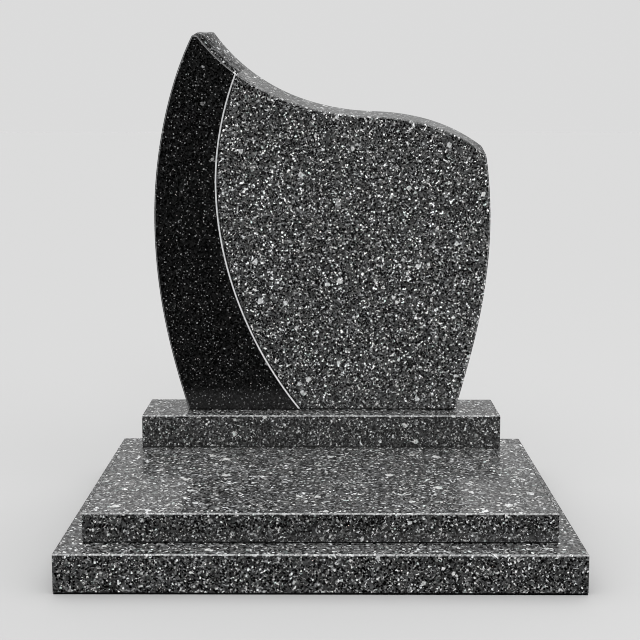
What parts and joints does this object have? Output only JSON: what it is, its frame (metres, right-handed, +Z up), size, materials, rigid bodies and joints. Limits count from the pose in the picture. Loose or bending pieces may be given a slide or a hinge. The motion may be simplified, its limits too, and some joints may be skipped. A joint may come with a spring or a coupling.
{
  "type": "cinerary monument",
  "caption": "Stepped granite cinerary monument: base slab, ledger and plinth carry an upright headstone with a sweeping asymmetric outline and a curved dark granite panel.",
  "frame": {"origin": "middle of the base slab's underside, where the monument stands on the ground", "axes": "+Z up the headstone, -Y towards the viewer of the monument's front, +X to that viewer's right"},
  "size_m": [0.8, 0.6, 0.8675],
  "materials": {
    "grey_granite": "polished dark grey granite, speckled black, grey and white",
    "black_granite": "polished black granite with fine light specks"
  },
  "bodies": {
    "root": {"base_slab": "grey_granite", "ledger": "grey_granite", "plinth": "grey_granite", "headstone": "grey_granite", "dark_panel": "black_granite"}
  },
  "joints": []
}
